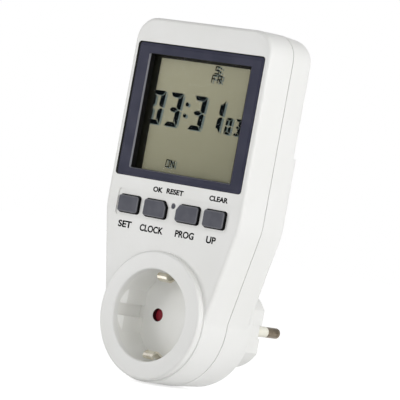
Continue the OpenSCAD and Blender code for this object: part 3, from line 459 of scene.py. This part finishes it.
# The painted light falls from the upper left to the lower right
fall_to_right = -0.35
tilt = sums(crystal, "MULTIPLY_ADD", axes["X"], fall_to_right, axes["Z"])
painted_light_fall = put(crystal, "MapRange", {"Value": tilt, "From Min": given["Bottom"],
                                 "From Max": given["Top"]}).outputs[0]
mottle = noise(crystal, 0.5)
uneven = sums(crystal, "MULTIPLY_ADD", mottle, 0.12, painted_light_fall)
crystal.links.new(mingle(crystal, uneven, given["Lower"], given["Upper"]), gives["Colour"])
crystal.links.new(sums(crystal, "MULTIPLY_ADD", mottle, 0.1, given["Roughness"]),
                  gives["Roughness"])
crystal.links.new(mottle, gives["Height"])
cell = finish("crystal_cell", crystal, {
    "Upper": paint(174, 171, 143), "Lower": paint(145, 143, 115), "Top": 0.112, "Bottom": 0.058,
    "Roughness": 0.42}, 0.002, Specular_IOR_Level=0.2)
dress(cell, "lcd_panel")

lean = np.tan(np.radians(4.8))
SEGMENTS = {"0": "abcdef", "1": "bc", "3": "abcdg"}


def segments(digit, x, z, width, height, stroke):
    """Outlines of a digit's segments, cut aslant where two meet and leaning to the right. The
    level ones are thinner than the upright ones."""
    gap, level, s = stroke * 0.12, stroke * 0.8, stroke / 2
    w, h, t, c, k = width, height, stroke, height / 2, level / 2
    cut, low, high = level * 0.75, level + gap, height - level - gap
    shapes = {
        "a": [(gap, h), (cut + gap, h - level), (w - cut - gap, h - level), (w - gap, h)],
        "d": [(gap, 0), (w - gap, 0), (w - cut - gap, level), (cut + gap, level)],
        "g": [(s + gap, c), (t + gap, c - k), (w - t - gap, c - k), (w - s - gap, c),
              (w - t - gap, c + k), (t + gap, c + k)],
        "f": [(0, c + gap), (s, c + gap), (t, c + k + gap), (t, high), (cut, high), (0, h - gap)],
        "e": [(0, gap), (cut, low), (t, low), (t, c - k - gap), (s, c - gap), (0, c - gap)],
        "b": [(w, c + gap), (w, h - gap), (w - cut, high), (w - t, high), (w - t, c + k + gap),
              (w - s, c + gap)],
        "c": [(w, gap), (w, c - gap), (w - s, c - gap), (w - t, c - k - gap), (w - t, low),
              (w - cut, low)]}
    outlines = [np.array(shapes[key]) for key in SEGMENTS[digit]]
    return [np.stack([x + p[:, 0] + p[:, 1] * lean, z + p[:, 1]], -1) for p in outlines]


def strokes(lines, x, z, width, height, stroke):
    """Outlines of thin bars along lines from (a, b) to (c, d), given in parts of the letter."""
    size = np.array([width, height])
    bars = []
    for a, b, c, d in lines:
        start, end = np.array([a, b]) * size, np.array([c, d]) * size
        along = (end - start) / np.linalg.norm(end - start) * stroke / 2
        side = np.array([along[1], -along[0]])
        p = np.array([start - along + side, end + along + side, end + along - side,
                      start - along - side])
        bars.append(np.stack([x + p[:, 0] + p[:, 1] * lean, z + p[:, 1]], -1))
    return bars


LETTERS = {
    "F": [(0, 0, 0, 1), (0, 1, 1, 1), (0, 0.5, 0.8, 0.5)],
    "R": [(0, 0, 0, 1), (0, 1, 1, 1), (1, 1, 1, 0.5), (1, 0.5, 0, 0.5), (0.3, 0.5, 1, 0)],
    "O": [(0, 0, 0, 1), (0, 1, 1, 1), (1, 1, 1, 0), (1, 0, 0, 0)],
    "N": [(0, 0, 0, 1), (0, 1, 1, 0), (1, 0, 1, 1)],
    "S": [(1, 1, 0, 1), (0, 1, 0, 0.5), (0, 0.5, 1, 0.5), (1, 0.5, 1, 0), (1, 0, 0, 0)]}
shown = []
for digit, x in zip("0331", (-26.8, -16.9, -3.45, 6.9)):
    shown += segments(digit, x, 80.7, 7.3, 14.7, 2.4)
for digit, x in zip("03", (16.75, 21.75)):
    shown += segments(digit, x, 81.0, 3.3, 7.1, 1.3)
for letter, x, z, thick in (("S", 6.4, 105.8, 0.55), ("F", 5.3, 102, 0.52), ("R", 8.5, 102, 0.52),
                            ("O", -11.5, 63.4, 0.4), ("N", -8.8, 63.4, 0.4)):
    shown += strokes(LETTERS[letter], x, z, 1.9, 3.0, thick)
turn = np.linspace(0, 2 * np.pi, 12, endpoint=False)
circle = np.stack([np.cos(turn), np.sin(turn)], -1)
for x, z, r in ((-5.6, 91.1, 0.92), (-6.0, 86.2, 0.92), (9.4, 106.5, 0.4), (9.6, 108.1, 0.4)):
    shown.append((x, z) + r * circle)

segment_black = finish("segment_black", crystal, {
    "Upper": paint(4, 9, 13), "Lower": paint(3, 8, 11), "Roughness": 0.5}, 0.001,
    Specular_IOR_Level=0.0)
segment_shadow = finish("segment_shadow", crystal, {
    "Upper": paint(112, 126, 122), "Lower": paint(100, 114, 110), "Top": 0.112, "Bottom": 0.058,
    "Roughness": 0.5}, 0.001, Specular_IOR_Level=0.2)
segment_y, shadow_y, film_thickness, cast = -52.07, -52.03, 0.02, (1.1, -0.35)
dark = [np.stack([at_depth(p, segment_y), at_depth(p, segment_y + film_thickness)])
        for p in shown]
piece("display_segments", dark, "case", segment_black)
thrown = [np.stack([at_depth(p + cast, shadow_y), at_depth(p + cast, shadow_y + film_thickness)])
          for p in shown]
piece("segment_shadows", thrown, "case", segment_shadow)

# ---- Keys -----------------------------------------------------------------------------------
# Four grey caps of soft-touch plastic stand a little proud of the cover, each with a flange
# behind it and a stem that reaches its switch. The inner two lack a corner beside the reset pin.

key_grey = finish("key_grey", moulded, {
    "Colour": paint(84, 85, 94), "Second colour": paint(80, 81, 90), "Patch": 4.0,
    "Grain": 0.2, "Roughness": 0.5, "Spread": 0.1}, 0.006, Specular_IOR_Level=0.2)
key_rim_highlight = finish("key_rim_highlight", moulded, {
    "Colour": paint(106, 107, 113), "Second colour": paint(102, 103, 109), "Patch": 4.0,
    "Grain": 0.2, "Roughness": 0.4, "Spread": 0.1}, 0.004, Specular_IOR_Level=0.25)
key_gap_shade_black = finish("key_gap_shade_black", moulded, {
    "Colour": paint(12, 12, 13), "Second colour": paint(16, 16, 17), "Patch": 4.0,
    "Grain": 0.2, "Roughness": 0.7, "Spread": 0.1}, 0.004, Specular_IOR_Level=0.1)
dress(key_grey, "reset_key")
key_z, cap_h, cap_r, cap_round, dish = 44.85, 7.2, 1.1, 0.45, 0.18
foot_w, foot_h, stem_r, hole_w, hole_h, well_r = 12.4, 9.8, 1.6, 13.3, 8.7, 1.4
key_front, foot_front, stem_front, stem_back = -57.35, -53.75, -52.75, -50.32
ring_back, lip_front, collar_front = -53.95, -55.69, -55.6


def plate(width, height, x, z, cut):
    """Corners of a rectangle round (x, z) whose upper corner is cut off, on the right if cut is 1
    and on the left if it is -1."""
    corners = rectangle(width, height)
    if cut:
        corners = np.insert(corners, 2, corners[1] - (1.7, 0), axis=0)
        corners[1] -= (0, 2.4)
    return (corners[::-1] * (-1, 1) if cut < 0 else corners) + (x, z)


def ring(outer, inner, front):
    """Ring between two outlines, from behind the cover's wall forward to y = front."""
    return [np.stack([at_depth(outer, ring_back), at_depth(outer, front),
                      at_depth(inner, front), at_depth(inner, ring_back)])]


# The band behind each cap's rim is black, painted shade of the gap round the cap, and the rim is
# painted a little paler than the dished face, a painted highlight on its rounded edge
lips, collars = [], []
for name, x, left, right, cut in (
        ("set_key", -24, -5.7, 5.4, 0), ("clock_key", -9.1, -6.05, 6.05, 1),
        ("prog_key", 9.1, -6.15, 5.9, -1), ("up_key", 24, -5.8, 5.4, 0)):
    corners = plate(right - left, cap_h, x + (left + right) / 2, key_z, cut)
    hole = rounded(plate(hole_w, hole_h, x, key_z, cut), 0.02, 0.01)
    lips.append(ring(hole, rounded(corners, well_r, -0.48), lip_front))
    # Black collars fill the gaps round the caps: painted shade
    collars.append(ring(rounded(corners, well_r, -0.47), rounded(corners, cap_r, -0.1),
                        collar_front))
    side = [at_depth(rounded(corners, cap_r), foot_front)]
    cap_edge = [at_depth(rounded(corners, cap_r - inset, inset), key_front + depth)
                for inset, depth in round_over(cap_round)]
    face = cap_edge[-1]
    middle = np.array([x, key_front, key_z])
    dished = [middle + (face - middle) * (s, 1, s) + (0, dish * (1 - s * s), 0)
              for s in (0.85, 0.65, 0.4, 0.05)]
    foot = rounded(rectangle(foot_w, foot_h, x, key_z), 0.3)
    stem = circle * stem_r + (x, key_z)
    cap = piece(name + "_cap", [
        np.array(side + cap_edge + dished),
        np.stack([at_depth(foot, foot_front), at_depth(foot, stem_front)]),
        np.stack([at_depth(stem, stem_front), at_depth(stem, stem_back)])],
        name, key_grey)
    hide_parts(name)
    # The side band is black painted gap shade, the rounded rim a paler painted highlight
    cap.data.materials.append(key_rim_highlight)
    cap.data.materials.append(key_gap_shade_black)
    layers = np.repeat([2] + [1] * (len(cap_edge) - 1), len(face))
    look = np.zeros(len(cap.data.polygons), int)
    look[:len(layers)] = layers
    cap.data.polygons.foreach_set("material_index", look)
piece("key_lips", lips, "case", white_case)
piece("key_gap_shade_collars", collars, "case", key_gap_shade_black)

# ---- Words on the cover ---------------------------------------------------------------------
# The keys' functions are printed on the front cover in thin black sans letters.

printed_ink = finish("printed_ink", moulded, {
    "Colour": paint(20, 20, 22), "Second colour": paint(26, 26, 28), "Patch": 1.0,
    "Grain": 0.1, "Roughness": 0.5, "Spread": 0.1}, 0.002, Specular_IOR_Level=0.0)
print_front, print_thickness, stroke_gain = -56.125, 0.03, 0.1
letters = bmesh.new()
for word, left, right, middle, letter_h in (
        ("OK", -12.35, -6.85, 53.05, 2.3), ("RESET", -4.8, 4.6, 53.2, 2.3),
        ("CLEAR", 19, 29.2, 53.4, 2.3), ("SET", -28.4, -20.8, 36.05, 3.0),
        ("CLOCK", -15.95, -2.8, 35.9, 3.0), ("PROG", 4, 14.4, 36.1, 3.0),
        ("UP", 21.3, 26.5, 36, 3.0)):
    line = bpy.data.curves.new(word, "FONT")
    line.body = word
    line.extrude = 0.01
    line.offset = stroke_gain / letter_h
    holder = bpy.data.objects.new(word, line)
    flat = bpy.data.meshes.new_from_object(holder)
    points = np.empty(len(flat.vertices) * 3)
    flat.vertices.foreach_get("co", points)
    points = points.reshape(-1, 3)
    low, high = points.min(0), points.max(0)
    share = (points - low) / (high - low)
    placed = np.stack([left + (right - left) * share[:, 0],
                       print_front + print_thickness * (1 - share[:, 2]),
                       middle + letter_h * (share[:, 1] - 0.5)], -1) * mm
    flat.vertices.foreach_set("co", placed.ravel())
    letters.from_mesh(flat)
    bpy.data.objects.remove(holder)
bmesh.ops.remove_doubles(letters, verts=letters.verts, dist=same_place)
bmesh.ops.recalc_face_normals(letters, faces=letters.faces)
words_mesh = bpy.data.meshes.new("key_words")
letters.to_mesh(words_mesh)
letters.free()
words_mesh.materials.append(printed_ink)
key_words = bpy.data.objects.new("key_words", words_mesh)
bpy.context.collection.objects.link(key_words)
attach(key_words, "case")

# ---- Socket ---------------------------------------------------------------------------------
# A cup of slightly greyer plastic sits behind the collar. A red shutter turns behind its floor
# and closes the entry holes until both pins of a plug push it; a small spring brings it back.

cup = finish("socket_cup", moulded, {
    "Colour": paint(238, 238, 235), "Second colour": paint(235, 235, 231), "Patch": 16.0,
    "Grain": 0.25, "Roughness": 0.32, "Spread": 0.06}, 0.004)
dress(cup, "socket_insert")
red = finish("shutter_red", moulded, {
    "Colour": paint(168, 38, 56), "Second colour": paint(158, 32, 50), "Patch": 5.0,
    "Grain": 0.2, "Roughness": 0.4, "Spread": 0.08}, 0.005)
dress(red, "child_shutter")

# A dark red ring lines the wall of each entry hole: painted shade of the hole over the red shutter
entry_shade_red = finish("entry_painted_shade", moulded, {
    "Colour": paint(64, 20, 26), "Second colour": paint(54, 16, 22), "Patch": 3.0,
    "Grain": 0.2, "Roughness": 0.5, "Spread": 0.08}, 0.004, Specular_IOR_Level=0.15)
entry_turn = np.linspace(0, 2 * np.pi, 48, endpoint=False)
entry = np.stack([np.cos(entry_turn), np.sin(entry_turn)], -1)
entry_x, hole_r, shade_inner_r, shade_back, shade_front = 9.5, 2.83, 2.75, -39.35, -41.35
piece("entry_hole_shades", [[np.stack([at_depth(entry * r + (x, 0), y) for r, y in (
    (hole_r, shade_back), (hole_r, shade_front), (shade_inner_r, shade_front),
    (shade_inner_r, shade_back))])] for x in (-entry_x, entry_x)],
    "case", entry_shade_red)

# Metal that was drawn or rolled: fine streaks one way, and stains in soft spots
drawn, given, gives = group("drawn_metal", {
    "Colour": (0.7, 0.7, 0.7, 1), "Stain": (0.5, 0.45, 0.4, 1), "Streaks": (900.0, 60.0, 900.0),
    "Spot": 3.0, "Roughness": 0.25, "Spread": 0.2}, SURFACE)
where = put(drawn, "TexCoord").outputs["Object"]
stretched = put(drawn, "VectorMath", {0: where, 1: given["Streaks"]}, operation="MULTIPLY")
streaks = put(drawn, "TexNoise", {"Vector": stretched.outputs[0], "Scale": 1.0,
                                  "Detail": 3.0}).outputs[0]
spots = sharpen(drawn, noise(drawn, given["Spot"], 4.0), 0.45, 0.75)
drawn.links.new(mingle(drawn, spots, given["Colour"], given["Stain"]), gives["Colour"])
drawn.links.new(sums(drawn, "MULTIPLY_ADD", streaks, given["Spread"], given["Roughness"]),
                gives["Roughness"])
drawn.links.new(streaks, gives["Height"])
spring_wire = finish("spring_wire", drawn, {
    "Colour": paint(196, 196, 194), "Stain": paint(150, 148, 142), "Roughness": 0.2}, 0.002,
    Metallic=1.0)

# The shutter's spring, a wire along a helix of seven turns, fills the spring's box; in the timer
# it shortens as the shutter turns. The wire's middle stands at (r cos a, r sin a) and rises evenly
# with a.
low, high = np.array(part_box("shutter_spring")) / mm
wire_r, turns_of_wire, steps_per_turn, pressed_height = 0.18, 7, 24, 0.31
angle = np.linspace(0, 2 * np.pi * turns_of_wire, steps_per_turn * turns_of_wire + 1)[:, None]
round_wire = np.linspace(0, 2 * np.pi, 8, endpoint=False)
coil_x, coil_y = (low + high)[:2] / 2
reach_r = (high[0] - low[0]) / 2 - wire_r + wire_r * np.cos(round_wire)
climb = (high[2] - low[2] - 2 * wire_r) / angle[-1]
coil = piece("shutter_coil", [np.stack([
    coil_x + np.cos(angle) * reach_r, coil_y + np.sin(angle) * reach_r,
    low[2] + wire_r + climb * angle + wire_r * np.sin(round_wire)], -1)],
    "case", spring_wire, 60)
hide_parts("shutter_spring")
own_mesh(coil)

# ---- Earth strap ----------------------------------------------------------------------------
# Two nickelled brackets carry the earth clips, one of the socket and one of the plug. They are
# pressed from spring strip and riveted together behind the socket.

nickel = finish("nickel_strip", drawn, {
    "Colour": paint(246, 241, 228), "Stain": paint(222, 212, 190),
    "Streaks": (120.0, 900.0, 900.0), "Spot": 4.0, "Roughness": 0.1, "Spread": 0.14}, 0.003,
    Metallic=1.0)
dress(nickel, "front_earth_bracket", "rear_earth_bracket", "earth_rivet")

# ---- Contacts and plug pins -----------------------------------------------------------------
# The socket's clips and the strips that join them to the pins, the relay and the power board
# are stamped from brass. The pins are solid nickelled brass with a moulded sleeve at the root.

brass = finish("stamped_brass", drawn, {
    "Colour": paint(214, 182, 112), "Stain": paint(168, 128, 70),
    "Streaks": (900.0, 900.0, 90.0), "Spot": 2.5, "Roughness": 0.22, "Spread": 0.2}, 0.004,
    Metallic=1.0)
dress(brass, "live_clip", "neutral_clip", "live_busbar", "neutral_busbar", "switched_busbar",
      "relay_contact", "board_link")
pin_metal = finish("pin_nickel", drawn, {
    "Colour": paint(128, 117, 101), "Stain": paint(84, 74, 61),
    "Streaks": (900.0, 60.0, 900.0), "Spot": 3.0, "Roughness": 0.18, "Spread": 0.14}, 0.004,
    Metallic=1.0)
dress(pin_metal, "live_pin", "neutral_pin")
cream = finish("sleeve_cream", moulded, {
    "Colour": paint(238, 236, 224), "Second colour": paint(232, 229, 214), "Patch": 4.0,
    "Grain": 0.3, "Roughness": 0.45, "Spread": 0.08}, 0.005)
dress(cream, "pin_sleeves")
carrier = finish("carrier_grey", moulded, {
    "Colour": paint(206, 207, 205), "Second colour": paint(198, 199, 196), "Patch": 7.0,
    "Grain": 0.4, "Roughness": 0.5, "Spread": 0.08}, 0.01)
dress(carrier, "contact_carrier")

# ---- Key switches and display mounting ------------------------------------------------------
# Five tact switches under tinned steel covers have black plungers. A natural moulded holder
# keeps the cell in place over a white foil, and a rubber strip joins it to the board.

tin = finish("tinned_steel", drawn, {
    "Colour": paint(206, 207, 208), "Stain": paint(170, 171, 170),
    "Streaks": (900.0, 900.0, 120.0), "Spot": 2.0, "Roughness": 0.28, "Spread": 0.15}, 0.004,
    Metallic=1.0)
dress(tin, "key_switches", "case_screws", "logic_board_screws", "power_board_screws",
      "carrier_screws")
black = finish("black_plastic", moulded, {
    "Colour": paint(34, 34, 36), "Second colour": paint(42, 42, 43), "Patch": 4.0,
    "Grain": 0.15, "Roughness": 0.5, "Spread": 0.12}, 0.006)
dress(black, "set_plunger", "clock_plunger", "prog_plunger", "up_plunger", "reset_plunger",
      "logic_chip", "rectifier_diodes")
natural = finish("natural_plastic", moulded, {
    "Colour": paint(222, 217, 203), "Second colour": paint(212, 205, 186), "Patch": 6.0,
    "Grain": 0.3, "Roughness": 0.45, "Spread": 0.1}, 0.006)
dress(natural, "lcd_frame", "relay_bobbin")
foil = finish("white_foil", moulded, {
    "Colour": paint(236, 237, 236), "Second colour": paint(228, 230, 228), "Patch": 8.0,
    "Grain": 0.6, "Roughness": 0.3, "Spread": 0.1}, 0.01)
dress(foil, "lcd_reflector")

# The rubber strip is built of thin conductive and insulating layers across its length
layered, given, gives = group("layered_strip", {
    "Colour": (0.02, 0.02, 0.02, 1), "Second colour": (0.2, 0.2, 0.2, 1), "Pitch": 0.5,
    "Along": (1.0, 0.0, 0.0), "Roughness": 0.5}, SURFACE)
lies = put(layered, "VectorMath", {0: put(layered, "TexCoord").outputs["Object"],
                                   1: given["Along"]}, operation="DOT_PRODUCT").outputs["Value"]
turns = sums(layered, "DIVIDE", sums(layered, "MULTIPLY", lies, 2 * np.pi / mm), given["Pitch"])
wave = sums(layered, "MULTIPLY_ADD", sums(layered, "SINE", turns), 0.5, 0.5)
layered.links.new(mingle(layered, wave, given["Colour"], given["Second colour"]),
                  gives["Colour"])
layered.links.new(sums(layered, "MULTIPLY_ADD", wave, 0.1, given["Roughness"]),
                  gives["Roughness"])
layered.links.new(wave, gives["Height"])
strip = finish("zebra_strip", layered, {
    "Colour": paint(30, 30, 30), "Second colour": paint(74, 74, 76), "Pitch": 0.4,
    "Roughness": 0.6}, 0.01)
dress(strip, "zebra_strip")

# ---- Boards ---------------------------------------------------------------------------------
# The logic board is glass fibre under a green solder mask, the power board brown phenolic
# paper. Copper tracks show through as paler lines, and tinned pads as dots.

board, given, gives = group("printed_board", {
    "Colour": (0.02, 0.15, 0.06, 1), "Track": (0.04, 0.25, 0.1, 1), "Pad": (0.6, 0.6, 0.58, 1),
    "Pitch": 1.6}, SURFACE)
where = put(board, "TexCoord").outputs["Object"]
block = 9 * mm
blocks = put(board, "VectorMath", {0: where, 1: (block, 1.0, block)}, operation="SNAP")
chance = put(board, "TexWhiteNoise", {"Vector": blocks.outputs[0]}).outputs[0]
axes = put(board, "SeparateXYZ", {0: where}).outputs
upright_ones = sums(board, "GREATER_THAN", chance, 0.5)
across = put(board, "Mix", {0: upright_ones, 2: axes["X"], 3: axes["Z"]}).outputs[0]
pitch = sums(board, "MULTIPLY", given["Pitch"], mm / 2)
saw = sums(board, "DIVIDE", sums(board, "PINGPONG", across, pitch), pitch)
track = sharpen(board, saw, 0.55, 0.62)
cells = put(board, "TexVoronoi", {"Vector": where, "Scale": 190.0, "Randomness": 0.7}).outputs[0]
pads = sharpen(board, cells, 0.26, 0.22)
laid = mingle(board, track, given["Colour"], given["Track"])
board.links.new(mingle(board, pads, laid, given["Pad"]), gives["Colour"])
board.links.new(sums(board, "MULTIPLY_ADD", pads, -0.1, 0.4), gives["Roughness"])
board.links.new(sums(board, "MAXIMUM", track, pads), gives["Height"])
green = finish("green_board", board, {
    "Colour": paint(22, 84, 48), "Track": paint(34, 112, 64), "Pad": paint(196, 198, 190),
    "Pitch": 1.6}, 0.03)
dress(green, "logic_board")
brown = finish("brown_board", board, {
    "Colour": paint(140, 98, 58), "Track": paint(158, 116, 72), "Pad": paint(196, 196, 190),
    "Pitch": 4.5}, 0.035)
dress(brown, "power_board")
can = finish("nickel_can", drawn, {
    "Colour": paint(205, 203, 198), "Stain": paint(176, 172, 164),
    "Streaks": (700.0, 700.0, 700.0), "Spot": 3.0, "Roughness": 0.2, "Spread": 0.15}, 0.003,
    Metallic=1.0)
dress(can, "clock_crystal", "backup_battery", "battery_tabs")

# ---- Relay ----------------------------------------------------------------------------------
# A small power relay stands on the board: black case and base, a coil of enamelled wire on a
# natural bobbin, a galvanised yoke, and an armature that rocks on the yoke's end.

relay_black = finish("relay_black", moulded, {
    "Colour": paint(40, 41, 44), "Second colour": paint(46, 47, 50), "Patch": 6.0,
    "Grain": 0.3, "Roughness": 0.42, "Spread": 0.1}, 0.01)
dress(relay_black, "relay_case", "relay_base")
winding = finish("enamelled_wire", layered, {
    "Colour": paint(122, 58, 30), "Second colour": paint(206, 122, 74), "Pitch": 0.16,
    "Along": (0.0, 0.0, 1.0), "Roughness": 0.25}, 0.05, Metallic=0.8)
dress(winding, "relay_winding")
iron = finish("galvanised_iron", drawn, {
    "Colour": paint(182, 184, 188), "Stain": paint(150, 152, 154),
    "Streaks": (300.0, 300.0, 900.0), "Spot": 1.2, "Roughness": 0.35, "Spread": 0.2}, 0.006,
    Metallic=1.0)
dress(iron, "relay_yoke", "relay_armature")

# ---- Power parts ----------------------------------------------------------------------------
# A yellow film capacitor drops the mains voltage; a blue-lacquered varistor and bleed resistors,
# a ceramic fuse and a sleeved electrolytic capacitor stand round it.

film = finish("film_yellow", moulded, {
    "Colour": paint(214, 176, 52), "Second colour": paint(204, 164, 42), "Patch": 8.0,
    "Grain": 0.5, "Roughness": 0.32, "Spread": 0.1}, 0.01)
dress(film, "dropper_capacitor")
sleeve = finish("dark_sleeve", moulded, {
    "Colour": paint(30, 32, 58), "Second colour": paint(24, 26, 48), "Patch": 5.0,
    "Grain": 1.2, "Roughness": 0.25, "Spread": 0.1}, 0.02)
dress(sleeve, "smoothing_capacitor")
lacquer = finish("blue_lacquer", moulded, {
    "Colour": paint(44, 92, 168), "Second colour": paint(36, 80, 152), "Patch": 3.0,
    "Grain": 0.7, "Roughness": 0.25, "Spread": 0.12}, 0.03)
dress(lacquer, "surge_varistor", "bleed_resistors")
ceramic = finish("ceramic", moulded, {
    "Colour": paint(226, 224, 214), "Second colour": paint(214, 211, 200), "Patch": 4.0,
    "Grain": 0.4, "Roughness": 0.35, "Spread": 0.1}, 0.01)
dress(ceramic, "mains_fuse")
